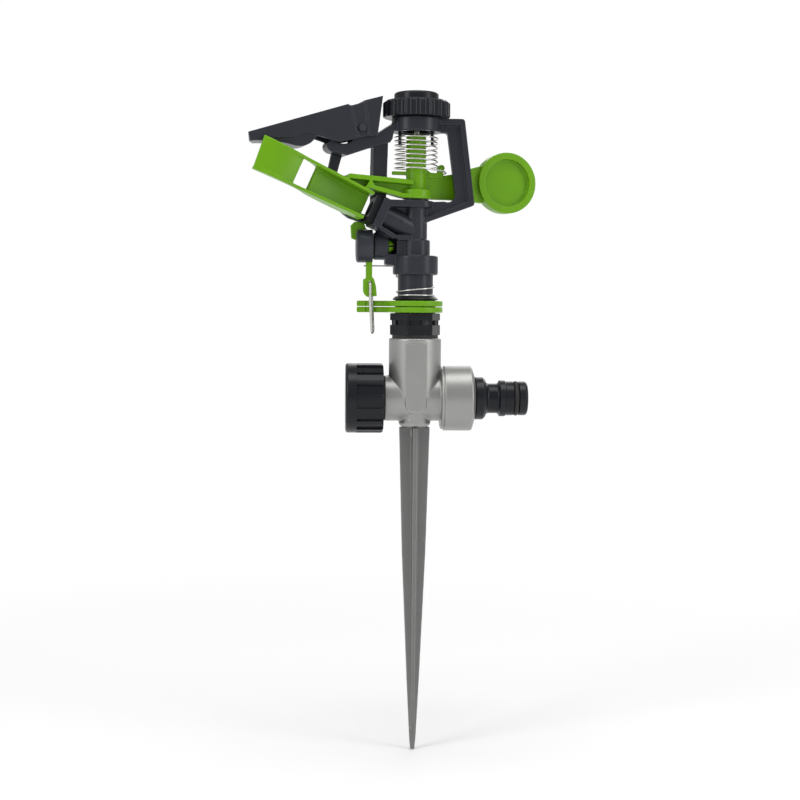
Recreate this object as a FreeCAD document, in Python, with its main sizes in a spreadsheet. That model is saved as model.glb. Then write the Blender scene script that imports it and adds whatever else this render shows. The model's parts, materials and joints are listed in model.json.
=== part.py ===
import FreeCAD, Part
import os
import math
import Sketcher

# Impact sprinkler on a ground spike.  Millimetres, +Z up along the riser.
# The origin is on the riser axis, at the underside of the cast tee, where the
# spike's blades begin: this is the level of the soil.  The tee runs along X,
# with the hose nipple at +X and the end cap at -X.  The sprinkler head is
# drawn with its nozzle towards -X and then turned about Z by head_yaw.

os.makedirs("parts", exist_ok=True)
V = FreeCAD.Vector
doc = FreeCAD.newDocument("impact_sprinkler")

DIMS = [
    ("head_yaw", 14.5), ("jet_angle", 24.5),
    ("tee_axis_z", 13.6), ("tee_height", 41.8), ("tee_radius", 12.25),
    ("run_radius", 10.65), ("flat_half", 11.25), ("flat_width", 4.85),
    ("collar_radius", 15.25), ("collar_start", 12.0), ("collar_end", 27.9),
    ("neck_radius", 10.3), ("neck_end", 29.6), ("water_radius", 7.0),
    ("thread_radius", 9.3), ("thread_floor", 28.5),
    ("spike_length", 153.0), ("spike_half", 7.2), ("blade_half", 1.05),
    ("tenon_radius", 4.0), ("tenon_height", 4.4),
    ("nipple_radius", 8.0), ("nipple_neck", 7.0), ("nipple_rib", 8.5),
    ("nipple_flange", 10.0), ("nipple_end", 53.0), ("nipple_bore", 5.0),
    ("oring_ring", 6.95), ("oring_cord", 1.2),
    ("cap_radius", 16.3), ("cap_end", 32.6), ("cap_mouth", 14.9), ("cap_bore", 10.6),
    ("nut_corner", 12.0), ("nut_low", 43.3), ("nut_high", 53.5),
    ("nut_sleeve", 9.5), ("nut_top", 59.6), ("nut_bore", 8.32), ("nut_foot", 33.2),
    ("collar_bore", 9.55), ("collar_ring", 12.8), ("tab_reach", 27.6), ("tab_half", 2.0),
    ("ring_thick", 2.6), ("ring_low", 53.8), ("ring_up", 56.7),
    ("stem_radius", 8.25), ("stem_bore", 5.2), ("stem_foot", 29.6), ("stem_top", 71.4),
    ("socket_radius", 6.2), ("socket_top", 78.8),
    ("hub_radius", 10.5), ("hub_low", 71.4), ("hub_high", 80.4),
    ("neck2_radius", 6.7), ("neck2_high", 87.9), ("riser_radius", 5.3),
    ("deck_low", 102.8), ("deck_high", 106.0), ("jet_origin_z", 91.6),
    ("barrel_radius", 5.4), ("plate_rear", 17.7), ("plate_front", 21.7),
    ("plate_half", 7.2), ("plate_wide", 6.5),
    ("beam_low", 137.8), ("beam_mid", 141.3), ("beam_high", 144.3),
    ("rim_depth", 8.0), ("web_depth", 4.4), ("frame_skew", 12.0),
    ("eye_radius", 11.6), ("eye_bore", 8.6),
    ("pin_radius", 2.0), ("pin_foot", 98.0), ("pin_top", 149.0),
    ("arm_hub", 4.8), ("arm_bore", 2.05), ("arm_low", 106.8), ("arm_top", 136.8),
    ("arm_base", 7.0), ("disc_x", 45.5), ("disc_z", 115.9), ("disc_radius", 14.6),
    ("disc_pocket", 11.2), ("vane_wall", 1.7),
    ("knob_radius", 15.8), ("knob_low", 144.6), ("knob_high", 152.4),
    ("knob_sleeve", 8.5), ("cap2_radius", 10.5), ("cap2_high", 156.3),
    ("coil_radius", 10.2), ("coil_wire", 0.38), ("coil_low", 120.2), ("coil_high", 135.6),
    ("bspring_radius", 8.85), ("bspring_wire", 0.42),
    ("flap_half", 7.0), ("flap_wall", 1.5), ("flap_pin_x", -28.2), ("flap_pin_z", 138.2),
    ("flap_pin_radius", 1.5),
    ("trip_z", 84.7), ("drum_radius", 7.7), ("shaft_radius", 2.5), ("sleeve_radius", 6.4),
    ("hook_radius", 0.75), ("hook_pivot_x", -21.4), ("hook_pivot_z", 67.6),
]
dims = doc.addObject("Spreadsheet::Sheet", "Dims")
D = {}
for row, (name, value) in enumerate(DIMS, start=1):
    dims.set("A%d" % row, name)
    dims.set("B%d" % row, repr(value))
    dims.setAlias("B%d" % row, name)
    D[name] = value
doc.recompute()


class Q:
    """A length with the sheet expression that drives it."""

    def __init__(self, value, text):
        self.v, self.t = float(value), text

    def _of(self, other):
        return other if isinstance(other, Q) else Q(other, repr(float(other)))

    def _op(self, other, sign, fn, flip=False):
        o = self._of(other)
        a, b = (o, self) if flip else (self, o)
        return Q(fn(a.v, b.v), "(%s %s %s)" % (a.t, sign, b.t))

    def __add__(self, o): return self._op(o, "+", lambda a, b: a + b)
    def __radd__(self, o): return self._op(o, "+", lambda a, b: a + b, True)
    def __sub__(self, o): return self._op(o, "-", lambda a, b: a - b)
    def __rsub__(self, o): return self._op(o, "-", lambda a, b: a - b, True)
    def __mul__(self, o): return self._op(o, "*", lambda a, b: a * b)
    def __rmul__(self, o): return self._op(o, "*", lambda a, b: a * b, True)
    def __neg__(self): return self._op(-1.0, "*", lambda a, b: a * b)


def q(name):
    return Q(D[name], "Dims." + name)


def num(x):
    return x.v if isinstance(x, Q) else float(x)


ALPHA = math.radians(D["jet_angle"])
CA, SA = math.cos(ALPHA), math.sin(ALPHA)


def jet(s, n):
    """Point of the nozzle plane: s along the jet, n square to it."""
    return (-CA * s + SA * n, D["jet_origin_z"] + SA * s + CA * n)


class Piece:
    """One sub-part: a PartDesign body with its sketches and features."""

    def __init__(self, label, head=False):
        self.b = doc.addObject("PartDesign::Body", label)
        self.b.Label = label
        self.n = 0
        if head:
            yaw = D["head_yaw"] - (D["frame_skew"] if head == "trip" else 0.0)
            self.b.Placement = FreeCAD.Placement(V(0, 0, 0), FreeCAD.Rotation(V(0, 0, 1), yaw))
        ALL.append(self.b)

    def plane(self, role):
        return [o for o in self.b.Origin.OriginFeatures if o.Role == role][0]

    def sketch(self, role="XZ_Plane", off=(0, 0, 0), rot=None):
        self.n += 1
        s = self.b.newObject("Sketcher::SketchObject", "%s_s%d" % (self.b.Name, self.n))
        s.AttachmentSupport = [(self.plane(role), "")]
        s.MapMode = "FlatFace"
        s.AttachmentOffset = FreeCAD.Placement(V(*[num(c) for c in off]), rot or FreeCAD.Rotation())
        for axis, c in zip("xyz", off):
            if isinstance(c, Q):
                s.setExpression("AttachmentOffset.Base." + axis, c.t)
        return s

    def feat(self, kind, sk, **kw):
        self.n += 1
        f = self.b.newObject("PartDesign::" + kind, "%s_f%d" % (self.b.Name, self.n))
        f.Profile = sk
        for k, val in kw.items():
            if isinstance(val, Q):
                setattr(f, k, val.v)
                f.setExpression(k, val.t)
            else:
                setattr(f, k, val)
        sk.Visibility = False
        self.b.Tip = f
        return f

    def pad(self, sk, length, sym=False, rev=False):
        f = self.feat("Pad", sk, Length=length)
        f.Midplane = sym
        f.Reversed = rev
        return f

    def pocket(self, sk, length, sym=False, rev=False):
        f = self.feat("Pocket", sk, Length=length)
        f.Midplane = sym
        f.Reversed = rev
        return f

    def turn(self, sk, axis="V_Axis"):
        return self.feat("Revolution", sk, ReferenceAxis=(sk, [axis]), Angle=360.0)

    def groove(self, sk, axis="V_Axis"):
        before = self.volume()
        f = self.feat("Groove", sk, ReferenceAxis=(sk, [axis]), Angle=360.0)
        if self.volume() > before - 1e-3:
            raise RuntimeError("groove cut nothing in " + self.b.Label)
        return f

    def cut(self, sk, length, sym=False, rev=False):
        """A pocket whose effect on the volume is compared."""
        before = self.volume()
        f = self.pocket(sk, length, sym, rev)
        if self.volume() > before - 1e-3:
            f.Reversed = not rev
            if self.volume() > before - 1e-3:
                raise RuntimeError("pocket cut nothing in " + self.b.Label)
        return f

    def volume(self):
        doc.recompute()
        return self.b.Shape.Volume

    def polar(self, feature, count, axis="Z_Axis"):
        self.n += 1
        p = self.b.newObject("PartDesign::PolarPattern", "%s_p%d" % (self.b.Name, self.n))
        p.Originals = [feature]
        p.Axis = (self.plane(axis), [""])
        p.Angle = 360.0
        p.Occurrences = count
        self.b.Tip = p
        doc.recompute()
        return p

    def round(self, radius, pick, kind="Fillet"):
        """Fillet or chamfer the edges that pick() accepts; a radius that the
        geometry cannot take is halved."""
        doc.recompute()
        base = self.b.Tip
        names = ["Edge%d" % (i + 1) for i, e in enumerate(base.Shape.Edges) if pick(e)]
        if not names:
            return None
        for r in (radius, radius * 0.5, radius * 0.25):
            self.n += 1
            f = self.b.newObject("PartDesign::" + kind, "%s_r%d" % (self.b.Name, self.n))
            f.Base = (base, names)
            if kind == "Fillet":
                f.Radius = r
            else:
                f.Size = r
            self.b.Tip = f
            doc.recompute()
            if "Invalid" not in f.State and "Error" not in f.State and not f.Shape.isNull() and f.Shape.isValid():
                return f
            self.b.removeObject(f)
            doc.removeObject(f.Name)
            self.b.Tip = base
            doc.recompute()
        return None


ALL = []


def loop(sk, pts):
    """Closed outline.  ("arc", (x, y)) between two points bends the side
    that joins them through that point."""
    corners, arcs = [], {}
    for p in pts:
        if p[0] == "arc":
            arcs[len(corners) - 1] = p[1]
        else:
            corners.append(p)
    n = len(corners)
    base = sk.GeometryCount
    starts, ends, geos = [], [], []
    for i, p in enumerate(corners):
        r = corners[(i + 1) % n]
        a, b = V(num(p[0]), num(p[1]), 0), V(num(r[0]), num(r[1]), 0)
        if i in arcs:
            m = V(num(arcs[i][0]), num(arcs[i][1]), 0)
            geos.append(Part.Arc(a, m, b))
            ccw = (m - a).cross(b - m).z > 0
            starts.append(1 if ccw else 2)
            ends.append(2 if ccw else 1)
        else:
            geos.append(Part.LineSegment(a, b))
            starts.append(1)
            ends.append(2)
    sk.addGeometry(geos, False)
    cons, named = [], []
    for i, p in enumerate(corners):
        cons.append(Sketcher.Constraint("Coincident", base + i, ends[i], base + (i + 1) % n, starts[(i + 1) % n]))
    for i in arcs:
        # the centre slides on the chord's bisector: one coordinate fixes it
        r = corners[(i + 1) % n]
        wide = abs(num(r[0]) - num(corners[i][0])) > abs(num(r[1]) - num(corners[i][1]))
        c = geos[i].toShape().Curve.Center
        cons.append(Sketcher.Constraint("DistanceY" if wide else "DistanceX", -1, 1, base + i, 3, c.y if wide else c.x))
    start = sk.ConstraintCount + len(cons)
    for i, p in enumerate(corners):
        for k, kind in enumerate(("DistanceX", "DistanceY")):
            cons.append(Sketcher.Constraint(kind, -1, 1, base + i, starts[i], num(p[k])))
            if isinstance(p[k], Q):
                named.append((start, p[k].t))
            start += 1
    sk.addConstraint(cons)
    for index, text in named:
        name = "c%d" % index
        sk.renameConstraint(index, name)
        sk.setExpression("Constraints." + name, text)


def ring(sk, x, y, r):
    base = sk.GeometryCount
    sk.addGeometry(Part.Circle(V(num(x), num(y), 0), V(0, 0, 1), num(r)), False)
    at = sk.ConstraintCount
    sk.addConstraint([
        Sketcher.Constraint("DistanceX", -1, 1, base, 3, num(x)),
        Sketcher.Constraint("DistanceY", -1, 1, base, 3, num(y)),
        Sketcher.Constraint("Radius", base, num(r))])
    for k, val in enumerate((x, y, r)):
        if isinstance(val, Q):
            sk.renameConstraint(at + k, "k%d" % (at + k))
            sk.setExpression("Constraints.k%d" % (at + k), val.t)


def box(sk, x0, y0, x1, y1):
    loop(sk, [(x0, y0), (x1, y0), (x1, y1), (x0, y1)])


def disc(label, z0, z1, r_out, r_in, head=False):
    """Flat washer about the Z axis."""
    p = Piece(label, head)
    s = p.sketch("XY_Plane", (0, 0, z0))
    ring(s, 0, 0, r_out)
    ring(s, 0, 0, r_in)
    p.pad(s, z1 - z0)
    return p


# ---------------------------------------------------------------- cast tee
zt = q("tee_axis_z")
tee = Piece("tee_body")
s = tee.sketch()
loop(s, [(0, 0), (5.2, 0), ("arc", (6.9, 0.8)), (7.5, 2.6), ("arc", (8.6, 8.2)), (q("tee_radius"), 14.6),
         (q("tee_radius"), q("tee_height") - 0.8), ("arc", (12.02, 41.56)),
         (q("tee_radius") - 0.8, q("tee_height")), (0, q("tee_height"))])
tee.turn(s)
s = tee.sketch(off=(0, zt, 0))
loop(s, [(-q("neck_end"), 0), (-q("neck_end"), q("neck_radius") - 0.6), (-29.0, q("neck_radius")),
         (-16.2, q("neck_radius")), (-15.6, 9.5), (-14.6, 9.5), (-14.6, q("run_radius") - 0.5), (-14.1, q("run_radius")),
         (q("collar_start"), q("run_radius")), (q("collar_start"), 14.2), (q("collar_start") + 0.4, 14.6),
         (q("collar_start") + 1.5, 14.6), (q("collar_start") + 1.5, q("collar_radius")),
         (25.9, q("collar_radius")), ("arc", (26.5, 14.95)), (26.8, 14.3),
         (q("collar_end"), 10.9), (q("collar_end"), 0)])
tee.turn(s, "H_Axis")
s = tee.sketch()
loop(s, [(-q("flat_width"), 40.0), (-q("flat_width"), 11.6), ("arc", (0, 7.0)), (q("flat_width"), 11.6), (q("flat_width"), 40.0)])
tee.pad(s, q("flat_half") * 2.0, sym=True)
for side in (-1, 1):
    s = tee.sketch(off=(0, 0, -side * D["flat_half"]))
    box(s, -5.3, 12.5, 5.3, 39.6)
    tee.cut(s, 1.5, rev=(side < 0))
s = tee.sketch(off=(0, zt, 0))
loop(s, [(-31, 0), (-31, q("water_radius")), (13.0, q("water_radius")), (13.0, q("thread_radius")), (27.0, q("thread_radius")), (29.0, 11.2), (29, 0)])
tee.groove(s, "H_Axis")
s = tee.sketch()
loop(s, [(0, zt), (q("water_radius"), zt), (q("water_radius"), q("thread_floor")), (q("thread_radius"), q("thread_floor")),
         (q("thread_radius"), 41.2), (10.4, 42.4), (0, 42.4)])
tee.groove(s)
s = tee.sketch()
loop(s, [(0, -1), (q("tenon_radius") + 0.05, -1), (q("tenon_radius") + 0.05, q("tenon_height") + 0.1), (0, q("tenon_height") + 0.1)])
tee.groove(s)

# ------------------------------------------------------------ ground spike
spike = Piece("ground_spike")
hb = q("blade_half")
edge = [(1.0, 0.0), (0.775, -58.5), (0.40, -120.4), (0.19, -150.0)]
for k in range(2):
    s = spike.sketch("XZ_Plane" if k == 0 else "YZ_Plane")
    right = [(q("spike_half") * w, zz) for w, zz in edge]
    left = [(-q("spike_half") * w, zz) for w, zz in reversed(edge)]
    loop(s, right + [("arc", (0.0, -153.0))] + left)
    spike.pad(s, hb * 2.0, sym=True)
s = spike.sketch()
loop(s, [(0, -q("spike_length")), (0.9, -152.5), (1.45, -150.5), (1.5, -100.0), (1.7, -40), (2.2, 0), (q("tenon_radius"), 0), (q("tenon_radius"), q("tenon_height") - 0.4),
         (q("tenon_radius") - 0.4, q("tenon_height")), (0, q("tenon_height"))])
spike.turn(s)

# ------------------------------------------------------------- hose nipple
nip = Piece("inlet_nipple")
s = nip.sketch(off=(0, zt, 0))
loop(s, [(14.6, 6.2), (14.6, 8.6), (15.2, q("thread_radius") - 0.05), (27.0, q("thread_radius") - 0.05), (27.4, 8.9), (28.05, 8.9),
         (28.05, q("nipple_flange") - 0.5), (28.6, q("nipple_flange")), (31.9, q("nipple_flange")), (33.1, 8.9),
         ("arc", (33.7, 7.5)), (35.2, q("nipple_neck")), (38.2, q("nipple_neck")), ("arc", (39.3, 7.4)), (39.7, q("nipple_rib") - 0.3),
         (40.0, q("nipple_rib")), (42.4, q("nipple_rib")), (42.8, q("nipple_radius")),
         (46.3, q("nipple_radius")), (46.3, 5.7), (49.1, 5.7), (49.1, q("nipple_radius")), (51.6, q("nipple_radius")),
         ("arc", (52.6, 7.6)), (q("nipple_end"), 6.6), (q("nipple_end"), q("nipple_bore")), (16.0, q("nipple_bore"))])
nip.turn(s, "H_Axis")

oring = Piece("nipple_o_ring")
s = oring.sketch(off=(0, zt, 0))
ring(s, 47.7, q("oring_ring"), q("oring_cord"))
oring.turn(s, "H_Axis")

gask = Piece("nipple_gasket")
s = gask.sketch(off=(0, zt, 0))
loop(s, [(13.05, 6.2), (14.6, 6.2), (14.6, 9.1), (13.05, 9.1)])
gask.turn(s, "H_Axis")

# ----------------------------------------------------------------- end cap
cap = Piece("end_cap")
s = cap.sketch(off=(0, zt, 0))
cr = q("cap_radius")
loop(s, [(-q("cap_end"), 0), (-q("cap_end"), cr - 1.6), ("arc", (-32.2, 15.9)), (-31.4, cr), (-15.9, cr), ("arc", (-15.2, 15.95)), (-q("cap_mouth"), 15.2),
         (-q("cap_mouth"), q("cap_bore") + 0.7), (-15.6, q("cap_bore")), (-31.0, q("cap_bore")), (-31.0, 0)])
cap.turn(s, "H_Axis")
s = cap.sketch("YZ_Plane", (0, 0, -27.4))
loop(s, [(-2.0, D["tee_axis_z"] + 15.25), (2.0, D["tee_axis_z"] + 15.25), (2.5, D["tee_axis_z"] + 17.4), (-2.5, D["tee_axis_z"] + 17.4)])
f = cap.cut(s, 14.0, rev=True)
# the grip flutes run round the X axis: they are patterned about a line through the run
ax = cap.b.newObject("PartDesign::Line", "cap_axis")
ax.AttachmentSupport = [(cap.plane("X_Axis"), "")]
ax.MapMode = "TwoPointLine" if False else "Deactivated"
ax.Placement = FreeCAD.Placement(V(0, 0, D["tee_axis_z"]), FreeCAD.Rotation(V(0, 0, 1), V(1, 0, 0)))
doc.recompute()
cap.n += 1
pp = cap.b.newObject("PartDesign::PolarPattern", "end_cap_flutes")
pp.Originals = [f]
pp.Axis = (ax, [""])
pp.Angle = 360.0
pp.Occurrences = 15
cap.b.Tip = pp
doc.recompute()

capw = Piece("end_cap_washer")
s = capw.sketch(off=(0, zt, 0))
loop(s, [(-31.0, 5.0), (-29.7, 5.0), (-29.7, 10.4), (-31.0, 10.4)])
capw.turn(s, "H_Axis")

# -------------------------------------------------- bearing nut and its seal
nut = Piece("bearing_nut")
s = nut.sketch("XY_Plane", (0, 0, q("nut_low")))
a0 = math.radians(-18.0 - 3.5 - 90.0)
pts = []
for k in range(6):
    a = a0 + k * math.pi / 3
    pts.append((D["nut_corner"] * math.cos(a), D["nut_corner"] * math.sin(a)))
loop(s, pts)
nut.pad(s, q("nut_high") - q("nut_low"))
s = nut.sketch()
loop(s, [(0, q("nut_foot")), (q("thread_radius") - 0.5, q("nut_foot")), (q("thread_radius") - 0.05, q("nut_foot") + 0.5), (q("thread_radius") - 0.05, 41.6),
         (9.0, 41.6), (9.0, q("nut_low")), (q("nut_sleeve"), q("nut_high") - 1), (q("nut_sleeve"), q("nut_top") - 0.3), (q("nut_sleeve") - 0.3, q("nut_top")), (0, q("nut_top"))])
nut.turn(s)
s = nut.sketch()
loop(s, [(10.25, 48.0), (14.0, 48.0), (14.0, 50.2), (10.25, 50.2)])
nut.groove(s)
s = nut.sketch()
loop(s, [(11.3, q("nut_low") - 0.1), (14, q("nut_low") - 0.1), (14, 44.6)])
nut.groove(s)
s = nut.sketch()
loop(s, [(11.3, q("nut_high") + 0.1), (14, q("nut_high") + 0.1), (14, 52.2)])
nut.groove(s)
s = nut.sketch("XY_Plane", (0, 0, 47.9), FreeCAD.Rotation(V(0, 0, 1), -19 - 3.5 - 90))
box(s, 9.8, -0.8, 11.0, 0.8)
f = nut.pad(s, 2.4)
nut.polar(f, 9)
s = nut.sketch("XY_Plane", (0, 0, 30))
ring(s, 0, 0, q("nut_bore"))
nut.cut(s, 32.0, rev=True)

disc("nut_gasket", 41.8, q("nut_low"), 10.8, 9.05)
s = None
fw = Piece("flange_washer")
s = fw.sketch()
loop(s, [(8.4, q("nut_top")), (10.3, q("nut_top")), (10.7, q("nut_top") + 0.5), (10.3, q("nut_top") + 0.9), (9.3, q("nut_top") + 1.8), (8.4, q("nut_top") + 1.8)])
fw.turn(s)

# ------------------------------------------------------ arc-setting collars
for label, z0, up in (("lower_collar", q("ring_low"), False), ("upper_collar", q("ring_up"), True)):
    c = Piece(label)
    rot = FreeCAD.Rotation(V(0, 0, 1), 167.5)
    s = c.sketch("XY_Plane", (0, 0, z0), rot)
    R, T = D["collar_ring"], D["tab_half"]
    x1 = math.sqrt(R * R - T * T)
    loop(s, [(q("tab_reach"), -q("tab_half")), (q("tab_reach"), q("tab_half")), (x1 + 1.4, q("tab_half")), (x1 + 0.5, T + 0.45), (R * math.cos(0.26), R * math.sin(0.26)),
             ("arc", (-R, 0.0)), (R * math.cos(0.26), -R * math.sin(0.26)), (x1 + 0.5, -T - 0.45), (x1 + 1.4, -q("tab_half"))])
    ring(s, 0, 0, q("collar_bore"))
    c.pad(s, q("ring_thick"))
    # slit that lets the collar grip its sleeve
    s = c.sketch("XY_Plane", (0, 0, z0 - 0.5), rot)
    box(s, -14.0, -0.5, -9.0, 0.5)
    c.cut(s, 4.0, rev=True)
    # thumb end of the tab
    s = c.sketch("XY_Plane", (0, 0, z0), rot)
    box(s, 23.4, -2.6, q("tab_reach"), 2.6)
    c.pad(s, q("ring_thick"))
    c.round(0.3, lambda e: e.BoundBox.ZLength < 0.01 and e.Length > 2.9 and min((v.Point - V(0, 0, v.Z)).Length for v in e.Vertexes) > 10.2, "Chamfer")

# ------------------------------------------------------- bearing of the head
stem = Piece("bearing_stem", True)
s = stem.sketch()
loop(s, [(q("stem_bore"), q("stem_foot")), (9.0, q("stem_foot")), (9.0, 31.2), (q("stem_radius"), 31.2), (q("stem_radius"), q("stem_top")),
         (q("socket_radius"), q("stem_top")), (q("socket_radius"), q("socket_top")), (q("stem_bore"), q("socket_top"))])
stem.turn(s)
disc("thrust_washer_lower", 31.2, 32.0, 9.0, 8.3, True)
disc("thrust_washer_upper", 32.2, q("nut_foot"), 9.0, 8.35)

# ------------------------------------------------------------------ the head
head = Piece("head_frame", True)
s = head.sketch()
loop(s, [(0, q("hub_low")), (q("hub_radius") - 0.5, q("hub_low")), (q("hub_radius"), q("hub_low") + 0.5), (q("hub_radius"), q("hub_high") - 0.7),
         ("arc", (10.3, 80.2)), (q("hub_radius") - 0.7, q("hub_high")), (q("neck2_radius"), q("hub_high")), (q("neck2_radius"), q("neck2_high") - 0.5),
         (q("neck2_radius") - 0.5, q("neck2_high")), (q("riser_radius"), q("neck2_high")), (q("riser_radius"), q("deck_high") - 0.5), (0, q("deck_high") - 0.5)])
head.turn(s)
# deck that carries the arm
s = head.sketch("XY_Plane", (0, 0, q("deck_low")))
loop(s, [(-17.5, -6.5), (1.0, -6.5), ("arc", (8.0, 0.0)), (1.0, 6.5), (-9.0, 6.9), (-20.6, 6.9), (-20.6, 1.0), (-17.5, 1.0)])
head.pad(s, q("deck_high") - q("deck_low"))
# barrel and square front of the nozzle
rot = FreeCAD.Rotation(V(0, 0, 1), 180.0 - D["jet_angle"])
s = head.sketch("XZ_Plane", (0, q("jet_origin_z"), 0), rot)
loop(s, [(0, 0), (0, q("barrel_radius") - 0.6), (9.0, q("barrel_radius")), (q("plate_rear") + 1, q("barrel_radius")), (q("plate_rear") + 1, 0)])
head.turn(s, "H_Axis")
s = head.sketch("XZ_Plane", (0, q("jet_origin_z"), 0), rot)
box(s, q("plate_rear"), -q("plate_half"), q("plate_front"), q("plate_half"))
head.pad(s, q("plate_wide") * 2.0, sym=True)
# gusset under the barrel and mid web over it
s = head.sketch()
g0, g1, g2 = jet(19.5, -7.2), jet(17.7, -7.2), jet(17.7, -5.4)
loop(s, [g0, (-11.4, 87.4), (-3.0, 87.4), (-3.0, 89.6), (-11.0, 89.8), g2])
head.pad(s, 10.0, sym=True)
s = head.sketch()
loop(s, [jet(18.0, 6.0), jet(18.0, -5.0), (-3.0, 89.0), (-3.0, 104.0), (-15.0, 104.0)])
head.pad(s, 2.4, sym=True)
# skewed window frame: rim and web, both in a plane turned about the riser
skew = FreeCAD.Rotation(V(0, 1, 0), -D["frame_skew"])
s = head.sketch("XZ_Plane", rot=skew)
loop(s, [(-4, q("beam_mid")), (-4, q("beam_high")), (21.1, q("beam_high")), ("arc", (22.0, 144.0)), (22.5, 143.0), (27.1, 105.4), ("arc", (27.0, 104.4)), (26.2, 103.8),
         (3.0, 95.3), (3.0, 97.8), (24.4, 105.9), (20.0, q("beam_mid"))])
head.pad(s, q("rim_depth"), sym=True)
s = head.sketch("XZ_Plane", rot=skew)
loop(s, [(-4, q("beam_low")), (-4, 142.6), (21.0, 142.6), (25.6, 105.0), (3.0, 96.8), (3.0, 105.4), (13.2, 105.9), ("arc", (17.0, 106.4)), (18.3, 109.4),
         (14.7, 136.6), ("arc", (14.2, 137.5)), (13.2, q("beam_low"))])
head.pad(s, q("web_depth"), sym=True)
# lightening recess of the right post's web is left to the rim on each side
# eye of the tension knob
s = head.sketch("XY_Plane", (0, 0, q("beam_low")))
ring(s, 0, 0, q("eye_radius"))
head.pad(s, q("beam_high") - q("beam_low"))
# shoulder bar that runs down to the flap's rest, with the lug of its pin
s = head.sketch()
loop(s, [(-2, q("beam_low")), (-2, q("beam_high")), (-9.0, 143.4), ("arc", (-14.5, 139.9)), (-19.5, 136.5), (-26.0, 134.3), (-33.2, 131.7), ("arc", (-37.4, 130.9)), (-40.4, 131.9),
         ("arc", (-43.7, 131.2)), (-44.1, 128.9), ("arc", (-42.6, 127.2)), (-40.0, 126.7), (-34.5, 125.6), (-23.0, 129.7), (-14.0, 132.4), (-12.9, 134.0), (-12.2, q("beam_low"))])
head.pad(s, 9.0, sym=True)
s = head.sketch()
loop(s, [(-32.4, 131.0), (-31.5, 138.9), ("arc", (-28.2, 141.6)), (-24.9, 138.9), (-23.6, 133.0)])
head.pad(s, 9.0, sym=True)
# left post, on the far side of the arm
s = head.sketch(off=(0, 0, -3.8))
loop(s, [(-20.6, 103.0), (-20.6, 117.0), (-20.4, 131.0), (-13.4, 134.0), (-13.9, 117.0), (-14.4, 103.0)])
head.pad(s, 6.0, sym=True)
# strut from the shoulder to the nozzle, behind the spoon
s = head.sketch(off=(0, 0, -5.9))
loop(s, [(-34.6, 126.5), (-36.6, 119.5), ("arc", (-35.5, 108.5)), (-28.5, 100.8), (-19.6, 98.4), (-19.6, 94.2), (-31.0, 97.4), ("arc", (-39.3, 106.4)), (-40.9, 120.5), (-39.4, 127.6)])
head.pad(s, 3.0, sym=True)
# trip bracket: block on the riser with a window, and the round sleeve
s = head.sketch(rot=skew)
loop(s, [(-14.6, 76.2), (-10.4, 75.6), (-10.4, q("hub_low") + 0.3), (-4, q("hub_low") + 0.3), (-4, 88.6), (-13.2, 90.4), (-14.6, 90.0)])
head.pad(s, 8.0, sym=True)
s = head.sketch(off=(0, q("trip_z"), 0), rot=skew)
loop(s, [(-19.9, 0), (-19.9, q("sleeve_radius") - 0.4), (-19.5, q("sleeve_radius")), (-13.2, q("sleeve_radius")), (-13.2, 0)])
head.turn(s, "H_Axis")
s = head.sketch(rot=skew)
loop(s, [(-13.2, 81.0), (-9.2, 81.0), (-9.2, 88.2), (-13.2, 88.2)])
head.cut(s, 12.0, rev=True)
s = head.sketch(off=(0, q("trip_z"), 0), rot=skew)
loop(s, [(-13.3, 0), (-13.3, 3.35), (-9.2, 3.35), (-9.2, 0)])
head.groove(s, "H_Axis")
# recess that takes the nozzle insert where it meets the post and the deck
s = head.sketch("XZ_Plane", (0, q("jet_origin_z"), 0), FreeCAD.Rotation(V(0, 0, 1), 180.0 - D["jet_angle"]))
box(s, q("plate_front"), -6.75, q("plate_front") + 3.6, 6.75)
head.cut(s, 8.9, sym=True)
# bores: stem socket, waterway, jet, arm pin, eye, flap pin, trip shaft
s = head.sketch()
loop(s, [(0, 71.0), (q("socket_radius") + 0.05, 71.0), (q("socket_radius") + 0.05, q("socket_top") + 0.2), (3.2, q("socket_top") + 0.2), (3.2, 92.0), (0, 94.0)])
head.groove(s)
s = head.sketch("XZ_Plane", (0, q("jet_origin_z"), 0), rot)
loop(s, [(0.5, 0), (0.5, 2.6), (16.9, 2.6), (16.9, 4.05), (22.5, 4.05), (22.5, 0)])
head.groove(s, "H_Axis")
s = head.sketch("XY_Plane", (0, 0, q("pin_foot") - 0.2))
ring(s, 0, 0, q("pin_radius") + 0.02)
head.cut(s, 12.0, rev=True)
s = head.sketch("XY_Plane", (0, 0, q("beam_low") - 1.0))
ring(s, 0, 0, q("eye_bore"))
head.cut(s, 9.0, rev=True)
s = head.sketch()
ring(s, q("flap_pin_x"), q("flap_pin_z"), q("flap_pin_radius") + 0.02)
head.cut(s, 16.0, sym=True)
s = head.sketch(off=(0, q("trip_z"), 0), rot=skew)
loop(s, [(-21, 0), (-21, q("shaft_radius") + 0.05), (-11.0, q("shaft_radius") + 0.05), (-11.0, 0)])
head.groove(s, "H_Axis")

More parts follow.
